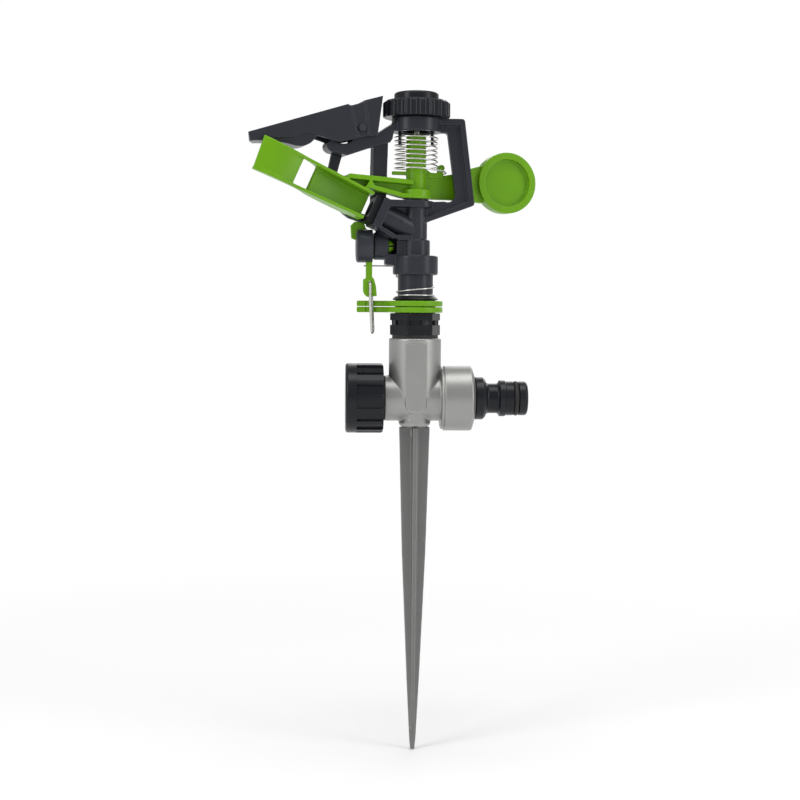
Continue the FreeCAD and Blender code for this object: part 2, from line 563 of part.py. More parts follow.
# ---------------------------------------------------------- nozzle insert
noz = Piece("nozzle_insert", True)
s = noz.sketch("XZ_Plane", (0, q("jet_origin_z"), 0), rot)
box(s, q("plate_front"), -6.6, q("plate_front") + 3.2, 6.6)
noz.pad(s, 8.6, sym=True)
s = noz.sketch("XZ_Plane", (0, q("jet_origin_z"), 0), rot)
loop(s, [(17.75, 0), (17.75, 4.0), (22.5, 4.0), (22.5, 0)])
noz.turn(s, "H_Axis")
s = noz.sketch("XZ_Plane", (0, q("jet_origin_z"), 0), rot)
loop(s, [(17.0, 0), (17.0, 2.6), (22.0, 1.7), (23.4, 1.7), (23.4, 3.3), (26.0, 3.9), (26.0, 0)])
noz.groove(s, "H_Axis")
seal = Piece("nozzle_seal", True)
s = seal.sketch("XZ_Plane", (0, q("jet_origin_z"), 0), rot)
loop(s, [(16.95, 2.7), (17.7, 2.7), (17.7, 3.95), (16.95, 3.95)])
seal.turn(s, "H_Axis")

# ---------------------------------------------------------------- arm pin
pin = Piece("arm_pivot_pin", True)
s = pin.sketch("XY_Plane", (0, 0, q("pin_foot")))
ring(s, 0, 0, q("pin_radius"))
pin.pad(s, q("pin_top") - q("pin_foot"))
pin.round(0.4, lambda e: abs(e.BoundBox.ZMin - D["pin_top"]) < 0.01 and e.BoundBox.ZLength < 0.01, "Chamfer")
disc("arm_thrust_washer", 106.0, 106.55, 6.0, 2.1, True)

# ------------------------------------------------------------- hammer arm
arm = Piece("hammer_arm", True)
s = arm.sketch()
loop(s, [(0, q("arm_low")), (q("arm_base") - 0.4, q("arm_low")), (q("arm_base"), q("arm_low") + 0.4), (q("arm_base"), 110.9), (q("arm_base") - 0.5, 111.4),
         (q("arm_hub"), 111.4), (q("arm_hub"), q("arm_top") - 0.5), (q("arm_hub") - 0.5, q("arm_top")), (0, q("arm_top"))])
arm.turn(s)
# right web and counterweight disc
s = arm.sketch(off=(0, 0, -2.6))
loop(s, [(3.0, 107.0), (3.0, 121.4), (5.8, 121.0), ("arc", (8.6, 119.2)), (12.0, 118.3), ("arc", (18.0, 119.3)), (27.0, 122.2), (34.0, 124.2), (34.0, 106.0), (29.7, 106.3), (17.0, 107.0)])
arm.pad(s, 4.0, sym=True)
s = arm.sketch(off=(0, 0, -2.0))
ring(s, q("disc_x"), q("disc_z"), q("disc_radius"))
arm.pad(s, 7.0, sym=True)
for side in (-1, 1):
    s = arm.sketch(off=(0, 0, -2.0 - side * 3.5))
    ring(s, q("disc_x"), q("disc_z"), q("disc_pocket"))
    arm.cut(s, 2.3, rev=(side < 0))
# left channel: upper and lower flanges and the web behind them
s = arm.sketch(off=(0, 0, 2.85))
loop(s, [(-3.0, 113.2), (-3.0, 115.5), (-33.5, 117.4), (-35.5, 115.6), (-33.5, 115.0)])
arm.pad(s, 6.3, sym=True)
s = arm.sketch(off=(0, 0, 2.85))
loop(s, [(-4.0, 106.9), (-4.0, 109.1), (-8.0, 109.2), (-24.6, 113.0), (-26.2, 111.6), (-24.0, 110.7), (-8.0, 106.9)])
arm.pad(s, 6.3, sym=True)
s = arm.sketch(off=(0, 0, 0.6))
loop(s, [(-3.0, 107.2), (-3.0, 115.0), (-33.5, 116.9), (-37.5, 116.4), (-33.0, 112.8), (-23.6, 108.9), (-23.4, 110.7), (-8.0, 107.2)])
arm.pad(s, 1.8, sym=True)
# spring lugs
s = arm.sketch(off=(0, 0, 0))
loop(s, [(-11.7, 117.8), (-3.0, 117.8), (-3.0, 119.6), (-11.7, 119.6)])
arm.pad(s, 3.0, sym=True)
s = arm.sketch(off=(0, 0, -1.5))
ring(s, 12.55, 121.9, 1.6)
arm.pad(s, 4.0, sym=True)
s = arm.sketch(off=(0, 0, -1.5))
loop(s, [(3.0, 117.0), (13.6, 117.0), (13.6, 121.4), (11.2, 121.4), (10.95, 119.65), (3.0, 119.65)])
arm.pad(s, 3.0, sym=True)
s = arm.sketch(off=(0, 0, 4.0))
ring(s, -23.6, 112.6, 1.5)
arm.pad(s, 4.4, sym=True)
# spoon: two flanges joined by the first vane, the slot and the second vane
tilt = FreeCAD.Rotation(V(-CA, 0, SA), V(0, -1, 0), V(SA, 0, CA), "ZXY")
S0, S1, S2, S3 = 27.0, 56.4, 63.6, 84.3
zc = D["jet_origin_z"]


def plan(offset):
    """Sketch square to the jet's plane: x along the jet, y towards the front."""
    return arm.sketch("XY_Plane", (SA * offset, 0, zc + CA * offset), tilt)


edge_line = [(S0, -3.3), (S0, 6.6), (S2 - 2, 8.4), ("arc", (73.5, 10.2)), (S3, 9.0), (S3, 7.0), (S2 + 2.0, 7.0), ("arc", (S2 - 3.0, 5.6)), (S1, 2.0), ("arc", (44.5, -1.9))]
s = plan(5.3)
loop(s, edge_line)
arm.pad(s, 1.6)
# the lower flange drops away towards the tip
lean = math.atan2(2.5, 52.0)
A2 = ALPHA - lean
n2 = -6.9 + 31.0 * math.tan(lean)
drop = FreeCAD.Rotation(V(-math.cos(A2), 0, math.sin(A2)), V(0, -1, 0), V(math.sin(A2), 0, math.cos(A2)), "ZXY")
s = arm.sketch("XY_Plane", (SA * n2, 0, zc + CA * n2), drop)
loop(s, [(S0, -3.7), (S0, 6.6), (S2 - 2, 8.8), ("arc", (73.5, 10.8)), (S3 - 1.2, 9.6), (S3 - 1.2, 6.6), (S2 + 2.0, 6.6), ("arc", (S2 - 3.0, 5.2)), (S1, 1.6), ("arc", (44.5, -2.3))])
arm.pad(s, 1.6)
w = D["vane_wall"]
s = plan(-6.6)
loop(s, [(S0, -3.3), ("arc", (44.5, -1.9)), (S1, 2.0), (S1 - 0.9, 2.0 + w), ("arc", (43.9, -1.9 + w)), (S0, -3.3 + w)])
arm.pad(s, 13.0)
s = plan(-8.2)
loop(s, [(S2, 8.2), ("arc", (73.5, 10.4)), (S3, 9.2), (S3, 9.2 - w), ("arc", (73.5, 10.4 - w)), (S2, 8.2 - w)])
arm.pad(s, 14.6)
# the tip is cut a little off square
s = arm.sketch()
t0, t1, t2, t3 = jet(84.35, 7.2), jet(82.7, -13.0), jet(90.0, -13.0), jet(90.0, 7.2)
loop(s, [t0, t1, t2, t3])
arm.cut(s, 40.0, sym=True)
# bore of the hub
s = arm.sketch("XY_Plane", (0, 0, q("arm_low") - 1.0))
ring(s, 0, 0, q("arm_bore"))
arm.cut(s, 40.0, rev=True)

# --------------------------------------------------- springs, as wire helices
def coil(label, radius, wire, z0, z1, turns, yaw):
    h = doc.addObject("Part::Helix", label + "_line")
    h.Radius = D[radius]
    h.setExpression("Radius", "Dims." + radius)
    h.Height = z1 - z0
    h.Pitch = (z1 - z0) / turns
    h.SegmentLength = 1.0
    h.Placement = FreeCAD.Placement(V(0, 0, z0), FreeCAD.Rotation(V(0, 0, 1), yaw))
    c = doc.addObject("Part::Circle", label + "_wire")
    c.Radius = D[wire]
    c.setExpression("Radius", "Dims." + wire)
    slope = math.degrees(math.atan2((z1 - z0) / turns, 2 * math.pi * D[radius]))
    turn = FreeCAD.Rotation(V(0, 0, 1), yaw).multiply(FreeCAD.Rotation(V(1, 0, 0), 90.0 + slope))
    c.Placement = FreeCAD.Placement(FreeCAD.Rotation(V(0, 0, 1), yaw).multVec(V(D[radius], 0, 0)) + V(0, 0, z0), turn)
    sw = doc.addObject("Part::Sweep", label)
    sw.Sections = [c]
    doc.recompute()
    sw.Spine = (h, ["Edge%d" % (i + 1) for i in range(len(h.Shape.Edges))])
    sw.Solid = True
    sw.Frenet = True
    sw.Label = label
    ALL.append(sw)
    return sw


coil("torsion_spring", "coil_radius", "coil_wire", D["coil_low"], D["coil_high"], 7.0, 0.0)
coil("bearing_spring", "bspring_radius", "bspring_wire", 61.9, 70.9, 2.0, 150.0)

# ------------------------------------------------------------ tension knob
knob = Piece("tension_knob", True)
s = knob.sketch()
kr = q("knob_radius")
loop(s, [(q("knob_sleeve") - 1.6, 138.4), (q("knob_sleeve"), 138.4), (q("knob_sleeve"), q("knob_low")), (kr - 0.6, q("knob_low")), (kr, q("knob_low") + 0.6), (kr, q("knob_high") - 1.2),
         (kr - 1.4, q("knob_high")), (0, q("knob_high")), (0, 140.0), (3.6, 140.0), (3.6, 146.0), (q("knob_sleeve") - 1.6, 146.0)])
knob.turn(s)
s = knob.sketch("XY_Plane", (0, 0, q("knob_low") - 0.5))
ring(s, 16.75, 0, 1.9)
f = knob.cut(s, 8.0, rev=True)
knob.polar(f, 24)
for ang in (-25.0, 155.0):
    s = knob.sketch("XY_Plane", (0, 0, 132.0), FreeCAD.Rotation(V(0, 0, 1), ang))
    box(s, 6.95, -2.0, 8.3, 2.0)
    knob.pad(s, 7.5)
s = knob.sketch("XY_Plane", (0, 0, 139.0))
ring(s, 0, 0, q("arm_bore"))
knob.cut(s, q("pin_top") + 0.4 - 139.0, rev=True)
s = knob.sketch("XY_Plane", (0, 0, q("knob_high") - 1.4))
ring(s, 0, 0, 5.05)
knob.cut(s, 3.0, rev=True)
kcap = Piece("knob_cap", True)
s = kcap.sketch()
c2 = q("cap2_radius")
loop(s, [(0, q("knob_high") - 1.3), (5.0, q("knob_high") - 1.3), (5.0, q("knob_high")), (c2, q("knob_high")), (c2, q("cap2_high") - 1.3), ("arc", (10.15, 155.95)), (c2 - 1.4, q("cap2_high")),
         (7.4, q("cap2_high")), (7.0, q("cap2_high") - 0.8), (0, q("cap2_high") - 0.8)])
kcap.turn(s)

# --------------------------------------------------------- deflector flap
flap = Piece("deflector_flap", True)
cheek = [(-81.0, 134.1), (-79.9, 129.9), (-70.4, 131.6), (-60.7, 132.4), (-56.1, 134.6), ("arc", (-49.0, 133.6)), (-42.3, 131.7), (-38.8, 131.2), (-30.8, 133.0), (-26.0, 134.2), (-20.7, 135.0),
         (-18.2, 153.4), (-27.2, 150.8), (-27.5, 149.9), (-33.9, 148.0), (-34.8, 148.8)]
for side in (-1, 1):
    s = flap.sketch(off=(0, 0, -side * (D["flap_half"] - D["flap_wall"] / 2)))
    loop(s, cheek)
    flap.pad(s, q("flap_wall"), sym=True)
s = flap.sketch()
loop(s, [(-81.0, 134.1), (-80.0, 130.0), (-78.8, 130.0), (-78.2, 133.0), (-57.0, 140.2), (-35.1, 147.1), (-33.9, 146.3), (-27.2, 148.4), (-26.6, 149.3), (-18.6, 151.6), (-18.2, 153.4), (-27.2, 150.8), (-27.5, 149.9), (-33.9, 148.0), (-34.8, 148.8)])
flap.pad(s, q("flap_half") * 2.0 - 1.0, sym=True)
# jet-breaking surface under the tip
s = flap.sketch()
loop(s, [(-79.9, 129.9), ("arc", (-70.0, 130.3)), (-60.5, 129.1), ("arc", (-56.0, 128.7)), (-52.0, 130.3), (-47.6, 134.6), (-49.0, 136.2), (-56.0, 136.4), (-66.0, 134.4), (-79.0, 131.8)])
flap.pad(s, q("flap_half") * 2.0 - 1.6, sym=True)
# the tip is cut square to the frame, not to the arm
s = flap.sketch("XY_Plane", (0, 0, 125.0))
loop(s, [(-81.6, -8.0), (-76.2, 8.0), (-90.0, 8.0), (-90.0, -8.0)])
flap.cut(s, 15.0, rev=True)
# raised ribs on the front cheek
for a, b, t in (((-34.8, 148.0), (-30.8, 133.2), 1.2), ((-27.5, 150.0), (-25.9, 134.4), 1.0)):
    s = flap.sketch(off=(0, 0, D["flap_half"] + 0.25))
    loop(s, [a, b, (b[0] + t, b[1] + 0.2), (a[0] + t, a[1] + 0.3)])
    flap.pad(s, 0.6, sym=True)
s = flap.sketch()
ring(s, q("flap_pin_x"), q("flap_pin_z"), q("flap_pin_radius") + 0.05)
flap.cut(s, 20.0, sym=True)

fpin = Piece("flap_pin", True)
s = fpin.sketch(off=(q("flap_pin_x"), q("flap_pin_z"), 0), rot=None)
ring(s, 0, 0, q("flap_pin_radius"))
fpin.pad(s, 15.4, sym=True)
s = fpin.sketch(off=(q("flap_pin_x"), q("flap_pin_z"), 7.35))
ring(s, 0, 0, 1.75)
fpin.pad(s, 0.55)

# ------------------------------------------------------------ trip lever
# lever, drum and wires stand in the plane of the window frame
lever = Piece("trip_lever", "trip")
zt2 = q("trip_z")
s = lever.sketch(off=(0, zt2, 0))
loop(s, [(-27.6, 0), (-27.6, 2.2), (-24.0, q("shaft_radius")), (-12.9, q("shaft_radius")), (-12.9, 3.1), (-12.1, 3.1), (-10.4, 1.5), (-10.4, 0)])
lever.turn(s, "H_Axis")
s = lever.sketch()
box(s, -15.0, 84.3, -9.9, 85.1)
lever.cut(s, 10.0, sym=True)
s = lever.sketch()
loop(s, [(-23.3, 85.0), (-23.3, 69.5), (-24.6, 69.3), (-24.6, 64.6), ("arc", (-24.0, 62.2)), (-22.6, 61.0), (-18.2, 61.4), (-18.6, 66.0), (-19.6, 69.5), (-20.45, 70.2), (-20.45, 85.0)])
lever.pad(s, 3.6, sym=True)
s = lever.sketch(off=(0, 0, -4.4))
loop(s, [(-25.0, 84.0), (-25.0, 86.6), (-30.0, 88.4), (-30.4, 94.4), (-28.6, 96.2), (-24.2, 96.4), (-23.4, 93.6), (-21.0, 91.0), (-21.0, 84.0)])
lever.pad(s, 2.8, sym=True)
s = lever.sketch(off=(0, 0, -2.4))
loop(s, [(-25.0, 83.4), (-25.0, 86.2), (-21.0, 86.2), (-21.0, 83.4)])
lever.pad(s, 4.4, sym=True)
s = lever.sketch()
ring(s, q("hook_pivot_x"), q("hook_pivot_z"), q("hook_radius") + 0.1)
lever.cut(s, 10.0, sym=True)

drum = Piece("trip_drum", "trip")
s = drum.sketch(off=(0, zt2, 0))
dr = q("drum_radius")
loop(s, [(-27.9, 0), (-27.9, dr - 1.0), ("arc", (-27.6, 7.4)), (-26.9, dr), (-20.4, dr), (-20.4, 0)])
drum.turn(s, "H_Axis")
s = drum.sketch(off=(0, zt2, 0))
loop(s, [(-27.65, 0), (-27.65, 2.25), (-24.0, q("shaft_radius") + 0.02), (-19.0, q("shaft_radius") + 0.02), (-19.0, 0)])
drum.groove(s, "H_Axis")
s = drum.sketch()
box(s, -23.32, 75.0, -20.0, 85.0)
drum.cut(s, 3.64, sym=True)
s = drum.sketch(off=(0, 0, -4.4))
loop(s, [(-25.02, 83.38), (-25.02, 86.6), (-30.0, 88.36), (-30.4, 96.0), (-20.0, 96.0), (-20.0, 83.38)])
drum.cut(s, 2.84, sym=True)
s = drum.sketch(off=(0, 0, -2.4))
loop(s, [(-25.02, 83.38), (-25.02, 86.22), (-20.0, 86.22), (-20.0, 83.38)])
drum.cut(s, 4.44, sym=True)

# toggle wire between the lever and the bracket, and the hooked trip wire
tog = doc.addObject("Part::Cylinder", "toggle_wire")
tog.Radius = 0.4
tog.Height = 16.0
tog.Placement = FreeCAD.Placement(V(0, 0, 0), FreeCAD.Rotation(V(0, 0, 1), D["head_yaw"] - D["frame_skew"])).multiply(
    FreeCAD.Placement(V(-8.6, 2.75, 75.6), FreeCAD.Rotation(V(0, 1, 0), -90.0)))
tog.Label = "toggle_wire"
ALL.append(tog)

hook = doc.addObject("Part::Feature", "trip_wire")
px, pz, wr = D["hook_pivot_x"], D["hook_pivot_z"], D["hook_radius"]
A, B = 2.6, 1.05
path = [V(px, -A, pz), V(px, -A, pz - 7.4), V(px + 0.9, -B, pz - 22.6), V(px + 1.3, 0, pz - 23.8), V(px + 1.7, B, pz - 22.6), V(px + 1.2, A, pz - 7.4), V(px, A, pz)]
solids = []
for a, b in zip(path, path[1:]):
    solids.append(Part.makeCylinder(wr, (b - a).Length, a, b - a))
    solids.append(Part.makeSphere(wr, b))
solids.append(Part.makeSphere(wr, path[0]))
solids.append(Part.makeCylinder(wr, 2 * A, V(px, -A, pz), V(0, 1, 0)))
shape = solids[0].multiFuse(solids[1:]).removeSplitter()
hook.Shape = shape
hook.Placement = FreeCAD.Placement(V(0, 0, 0), FreeCAD.Rotation(V(0, 0, 1), D["head_yaw"] - D["frame_skew"]))
hook.Label = "trip_wire"
ALL.append(hook)

# ------------------------------------------------------- check and write
doc.recompute()
bad = [o.Name for o in doc.Objects if "Invalid" in o.State or "Error" in o.State]
if bad:
    raise RuntimeError("failed objects: " + ", ".join(bad))
for o in ALL:
    sh = o.Shape
    if sh.isNull() or not sh.isValid() or not sh.Solids:
        raise RuntimeError("bad shape: " + o.Label)
    bb = sh.BoundBox
    print("%-22s solids %d vol %9.1f  x %.1f..%.1f y %.1f..%.1f z %.1f..%.1f" % (
        o.Label, len(sh.Solids), sh.Volume, bb.XMin, bb.XMax, bb.YMin, bb.YMax, bb.ZMin, bb.ZMax))
for o in ALL:
    o.Shape.exportStep("parts/%s.step" % o.Label)
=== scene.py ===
import bpy, bmesh, math, json
from mathutils import Vector, Matrix, noise


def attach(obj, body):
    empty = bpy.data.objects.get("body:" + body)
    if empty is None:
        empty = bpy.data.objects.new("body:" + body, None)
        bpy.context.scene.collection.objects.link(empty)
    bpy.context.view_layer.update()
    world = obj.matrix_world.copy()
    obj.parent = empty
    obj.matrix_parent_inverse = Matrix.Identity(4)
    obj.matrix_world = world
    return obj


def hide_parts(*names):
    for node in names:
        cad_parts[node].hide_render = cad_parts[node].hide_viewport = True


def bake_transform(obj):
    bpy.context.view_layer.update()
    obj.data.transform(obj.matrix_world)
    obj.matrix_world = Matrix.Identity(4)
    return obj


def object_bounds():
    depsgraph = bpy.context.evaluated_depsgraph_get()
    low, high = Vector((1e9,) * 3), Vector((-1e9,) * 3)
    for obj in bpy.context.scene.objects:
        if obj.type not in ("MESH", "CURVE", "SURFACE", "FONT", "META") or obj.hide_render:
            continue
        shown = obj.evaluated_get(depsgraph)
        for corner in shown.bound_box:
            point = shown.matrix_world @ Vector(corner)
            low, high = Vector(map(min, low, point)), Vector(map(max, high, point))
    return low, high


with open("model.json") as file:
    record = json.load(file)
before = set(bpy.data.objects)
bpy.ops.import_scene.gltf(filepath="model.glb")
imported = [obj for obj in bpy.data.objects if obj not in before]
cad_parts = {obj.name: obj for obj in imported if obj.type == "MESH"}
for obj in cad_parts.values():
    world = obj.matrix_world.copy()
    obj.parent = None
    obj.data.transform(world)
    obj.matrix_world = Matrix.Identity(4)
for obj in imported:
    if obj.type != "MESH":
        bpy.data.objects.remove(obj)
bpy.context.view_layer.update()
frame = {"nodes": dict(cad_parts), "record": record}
NODES, BODIES = frame["nodes"], frame["record"]["behaviour"]["bodies"]
BODY_OF = {n: b for b, ns in BODIES.items() for n in ns}
MM = 0.001
YAW = math.radians(14.5)
HEAD = Matrix.Rotation(YAW, 4, "Z")
TRIP = Matrix.Rotation(math.radians(2.5), 4, "Z")
scene = bpy.context.scene


# ------------------------------------------------------------------ materials
def mat(name):
    m = bpy.data.materials.new(name)
    m.use_nodes = True
    nt = m.node_tree
    nt.nodes.clear()
    out = nt.nodes.new("ShaderNodeOutputMaterial")
    bsdf = nt.nodes.new("ShaderNodeBsdfPrincipled")
    nt.links.new(bsdf.outputs[0], out.inputs[0])
    return m, nt, bsdf


def nd(nt, kind, **kw):
    n = nt.nodes.new(kind)
    for k, v in kw.items():
        if k in n.inputs:
            n.inputs[k].default_value = v
        else:
            setattr(n, k, v)
    return n


def mixc(nt, fac, a, b, mode="MIX"):
    n = nt.nodes.new("ShaderNodeMix")
    n.data_type = "RGBA"
    n.blend_type = mode
    for sock, val in ((0, fac), (6, a), (7, b)):
        if hasattr(val, "is_linked") or hasattr(val, "links"):
            nt.links.new(val, n.inputs[sock])
        else:
            n.inputs[sock].default_value = val if sock == 0 else tuple(val) + (1.0,)
    return n.outputs[2]


def ramp(nt, src, stops):
    r = nt.nodes.new("ShaderNodeValToRGB")
    nt.links.new(src, r.inputs[0])
    e = r.color_ramp.elements
    e[0].position, e[0].color = stops[0][0], (stops[0][1],) * 3 + (1,)
    e[1].position, e[1].color = stops[1][0], (stops[1][1],) * 3 + (1,)
    for p, v in stops[2:]:
        x = e.new(p)
        x.color = (v,) * 3 + (1,)
    return r.outputs[0]


def span(nt, src, lo, hi):
    r = nt.nodes.new("ShaderNodeMapRange")
    nt.links.new(src, r.inputs[0])
    r.inputs[3].default_value, r.inputs[4].default_value = lo, hi
    return r.outputs[0]


def coords(nt, scale=(1, 1, 1), rot=(0, 0, 0)):
    t = nt.nodes.new("ShaderNodeTexCoord")
    mp = nt.nodes.new("ShaderNodeMapping")
    mp.inputs["Scale"].default_value = scale
    mp.inputs["Rotation"].default_value = rot
    nt.links.new(t.outputs["Object"], mp.inputs[0])
    return mp.outputs[0]


def moulded(name, base, dark, light, rough=0.38, grain=2600.0, bump=0.012, coat=0.0, edge=0.35, spec=0.5, sss=0.0):
    """Injection-moulded plastic: fine spark-eroded grain, faint flow clouding, painted highlight on convex edges,
    painted shade in creases and corners.
    """
    m, nt, b = mat(name)
    L = nt.links.new
    co = coords(nt)
    cloud = nd(nt, "ShaderNodeTexNoise", Scale=95.0, Detail=4.0, Roughness=0.55)
    L(co, cloud.inputs["Vector"])
    flow = nd(nt, "ShaderNodeTexNoise", Scale=28.0, Detail=2.0, Distortion=1.2)
    L(coords(nt, (1, 1, 0.35)), flow.inputs["Vector"])
    gr = nd(nt, "ShaderNodeTexNoise", Scale=grain, Detail=2.0, Roughness=0.6)
    L(co, gr.inputs["Vector"])
    speck = nd(nt, "ShaderNodeTexVoronoi", Scale=grain * 0.35)
    L(co, speck.inputs["Vector"])
    geo = nt.nodes.new("ShaderNodeNewGeometry")
    c1 = mixc(nt, span(nt, cloud.outputs["Fac"], 0.0, 0.75), base, dark)
    c2 = mixc(nt, span(nt, flow.outputs["Fac"], 0.0, 0.30), c1, light)
    # painted highlight: convex edges (high pointiness) are mixed toward the light colour, made patchy by the cloud
    # noise
    painted_edge_highlight = ramp(nt, geo.outputs["Pointiness"], [(0.505, 0.0), (0.58, 1.0)])
    painted_edge_highlight_mix = nt.nodes.new("ShaderNodeMath")
    painted_edge_highlight_mix.operation = "MULTIPLY"
    L(painted_edge_highlight, painted_edge_highlight_mix.inputs[0])
    L(span(nt, cloud.outputs["Fac"], edge * 0.3, edge), painted_edge_highlight_mix.inputs[1])
    c3 = mixc(nt, painted_edge_highlight_mix.outputs[0], c2, light)
    # painted shade: concave creases and corners (low pointiness) are mixed toward the dark colour
    painted_crevice_shade = ramp(nt, geo.outputs["Pointiness"], [(0.40, 0.45), (0.495, 0.0)])
    c4 = mixc(nt, painted_crevice_shade, c3, dark)
    L(c4, b.inputs["Base Color"])
    L(span(nt, cloud.outputs["Fac"], rough - 0.07, rough + 0.09), b.inputs["Roughness"])
    b.inputs["Specular IOR Level"].default_value = spec
    if coat:
        b.inputs["Coat Weight"].default_value = coat
        b.inputs["Coat Roughness"].default_value = 0.22
    if sss:
        b.inputs["Subsurface Weight"].default_value = sss
        b.inputs["Subsurface Scale"].default_value = 0.002
        b.inputs["Subsurface Radius"].default_value = (0.4, 1.0, 0.15)
    b1 = nd(nt, "ShaderNodeBump", Strength=bump * 10, Distance=0.00003)
    L(gr.outputs["Fac"], b1.inputs["Height"])
    b2 = nd(nt, "ShaderNodeBump", Strength=bump * 6, Distance=0.00005)
    L(speck.outputs["Distance"], b2.inputs["Height"])
    L(b1.outputs[0], b2.inputs["Normal"])
    b3 = nd(nt, "ShaderNodeBump", Strength=0.06, Distance=0.0003)
    L(cloud.outputs["Fac"], b3.inputs["Height"])
    L(b2.outputs[0], b3.inputs["Normal"])
    L(b3.outputs[0], b.inputs["Normal"])
    return m


def cast(name, base, dark, light, metallic=0.6, rough=0.42, grain=1900.0, bump=0.3):
    """Cast alloy under a satin lacquer: fine orange-peel and metal flake, painted highlight on convex edges,
    painted shade in creases and corners.
    """
    m, nt, b = mat(name)
    L = nt.links.new
    co = coords(nt)
    peel = nd(nt, "ShaderNodeTexNoise", Scale=grain * 0.32, Detail=3.0, Roughness=0.6)
    L(co, peel.inputs["Vector"])
    fine = nd(nt, "ShaderNodeTexNoise", Scale=grain, Detail=3.0, Roughness=0.75)
    L(co, fine.inputs["Vector"])
    flake = nd(nt, "ShaderNodeTexVoronoi", Scale=grain * 1.6)
    L(co, flake.inputs["Vector"])
    broad = nd(nt, "ShaderNodeTexNoise", Scale=60.0, Detail=3.0)
    L(co, broad.inputs["Vector"])
    geo = nt.nodes.new("ShaderNodeNewGeometry")
    c1 = mixc(nt, span(nt, broad.outputs["Fac"], 0.1, 0.6), base, dark)
    c2 = mixc(nt, ramp(nt, fine.outputs["Fac"], [(0.52, 0.0), (0.78, 0.32)]), c1, light)
    c3 = mixc(nt, ramp(nt, flake.outputs["Distance"], [(0.05, 0.22), (0.22, 0.0)]), c2, light)
    # painted highlight: convex edges (high pointiness) are mixed toward the light colour
    painted_edge_highlight = ramp(nt, geo.outputs["Pointiness"], [(0.505, 0.0), (0.60, 0.6)])
    c4 = mixc(nt, painted_edge_highlight, c3, light)
    # painted shade: concave creases and corners (low pointiness) are mixed toward the dark colour
    painted_crevice_shade = ramp(nt, geo.outputs["Pointiness"], [(0.40, 0.5), (0.495, 0.0)])
    L(mixc(nt, painted_crevice_shade, c4, dark), b.inputs["Base Color"])
    L(span(nt, fine.outputs["Fac"], rough - 0.08, rough + 0.14), b.inputs["Roughness"])
    b.inputs["Metallic"].default_value = metallic
    b1 = nd(nt, "ShaderNodeBump", Strength=bump, Distance=0.00005)
    L(fine.outputs["Fac"], b1.inputs["Height"])
    b2 = nd(nt, "ShaderNodeBump", Strength=bump * 0.6, Distance=0.00012)
    L(peel.outputs["Fac"], b2.inputs["Height"])
    L(b1.outputs[0], b2.inputs["Normal"])
    L(b2.outputs[0], b.inputs["Normal"])
    return m


def steel(name, base, rough=0.22, along=(1, 1, 8)):
    """Drawn spring wire: bright metal with fine draw lines and a little tarnish."""
    m, nt, b = mat(name)
    L = nt.links.new
    n1 = nd(nt, "ShaderNodeTexNoise", Scale=3000.0, Detail=3.0)
    L(coords(nt, along), n1.inputs["Vector"])
    n2 = nd(nt, "ShaderNodeTexNoise", Scale=260.0, Detail=3.0)
    L(coords(nt), n2.inputs["Vector"])
    c = mixc(nt, span(nt, n2.outputs["Fac"], 0.0, 0.55), base, tuple(x * 0.55 for x in base))
    L(c, b.inputs["Base Color"])
    b.inputs["Metallic"].default_value = 1.0
    L(span(nt, n1.outputs["Fac"], rough - 0.08, rough + 0.16), b.inputs["Roughness"])
    bm = nd(nt, "ShaderNodeBump", Strength=0.25, Distance=0.00002)
    L(n1.outputs["Fac"], bm.inputs["Height"])
    L(bm.outputs[0], b.inputs["Normal"])
    return m


M = {
    "green_plastic": moulded("green_plastic", (0.138, 0.350, 0.004), (0.088, 0.250, 0.002), (0.225, 0.480, 0.012), rough=0.30, spec=0.26, edge=0.45),
    "grey_plastic": moulded("grey_plastic", (0.021, 0.023, 0.031), (0.014, 0.015, 0.021), (0.055, 0.060, 0.075), rough=0.30, spec=0.26, edge=0.45),
    "black_plastic": moulded("black_plastic", (0.0060, 0.0066, 0.0090), (0.0036, 0.0040, 0.0056), (0.026, 0.028, 0.035), rough=0.28, spec=0.24, edge=0.5),
    "slip_plastic": moulded("slip_plastic", (0.72, 0.71, 0.67), (0.62, 0.61, 0.57), (0.85, 0.85, 0.82), rough=0.45),
    "rubber": moulded("rubber", (0.014, 0.014, 0.015), (0.010, 0.010, 0.010), (0.030, 0.030, 0.032), rough=0.55, spec=0.35, grain=1600.0, bump=0.02),
    "cast_alloy": cast("cast_alloy", (0.375, 0.375, 0.362), (0.245, 0.245, 0.237), (0.60, 0.60, 0.585), metallic=0.74, rough=0.37),
    "spike_alloy": cast("spike_alloy", (0.200, 0.200, 0.197), (0.140, 0.140, 0.138), (0.40, 0.40, 0.39), metallic=0.55, rough=0.40, bump=0.22),
    "spring_steel": steel("spring_steel", (0.66, 0.65, 0.63)),
}
SLOT_OF = {s["node"]: s["material_slot"] for s in frame["record"]["subparts"]}
for name, obj in NODES.items():
    obj.data.materials.clear()
    obj.data.materials.append(M[SLOT_OF[name]])


# -------------------------------------------------------------- mesh helpers
def link(me, name, material):
    o = bpy.data.objects.new(name, me)
    scene.collection.objects.link(o)
    me.materials.clear()
    me.materials.append(M[material])
    return o


def smooth(me, angle=None):
    for p in me.polygons:
        p.use_smooth = True
    if angle is not None:
        me.set_sharp_from_angle(angle=math.radians(angle))


def applied(o):
    dg = bpy.context.evaluated_depsgraph_get()
    me = bpy.data.meshes.new_from_object(o.evaluated_get(dg), depsgraph=dg)
    old = o.data
    o.modifiers.clear()
    o.data = me
    return o


